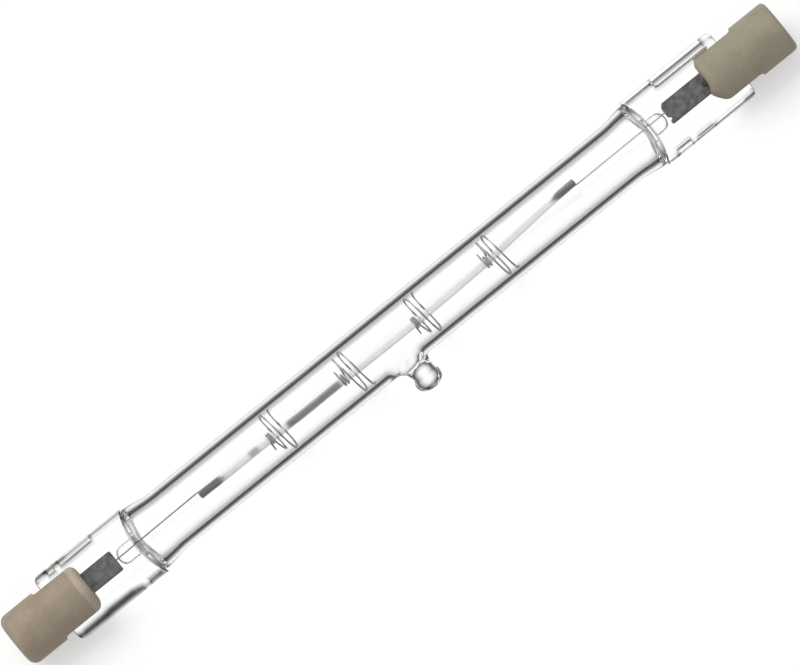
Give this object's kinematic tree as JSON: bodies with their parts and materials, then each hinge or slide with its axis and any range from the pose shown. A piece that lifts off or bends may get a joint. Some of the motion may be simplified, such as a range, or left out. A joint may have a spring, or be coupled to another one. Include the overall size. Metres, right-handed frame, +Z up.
{
  "type": "linear halogen bulb",
  "caption": "Linear halogen lamp: a clear quartz tube with flat pressed ends and a sealed exhaust tip, a coiled filament on wire rings, and slotted ceramic caps with recessed contacts.",
  "frame": {"origin": "on the surface that the lamp lies on, under the centre of its overall box", "axes": "+X along the lamp to its right cap, +Y away from the exhaust tip, +Z up"},
  "size_m": [0.1176, 0.012, 0.008],
  "materials": {
    "quartz": "clear polished",
    "tungsten": "drawn wire",
    "molybdenum": "dull rolled",
    "contact_metal": "plated",
    "steatite": "unglazed matte",
    "cement": "rough matte"
  },
  "bodies": {
    "root": {"quartz_envelope": "quartz", "filament": "tungsten", "filament_core_left": "tungsten", "filament_core_right": "tungsten", "filament_support_1": "tungsten", "filament_support_2": "tungsten", "filament_support_3": "tungsten", "filament_support_4": "tungsten", "foil_left": "molybdenum", "outer_lead_left": "molybdenum", "contact_left": "contact_metal", "ceramic_cap_left": "steatite", "cement_left": "cement", "foil_right": "molybdenum", "outer_lead_right": "molybdenum", "contact_right": "contact_metal", "ceramic_cap_right": "steatite", "cement_right": "cement"}
  },
  "joints": []
}
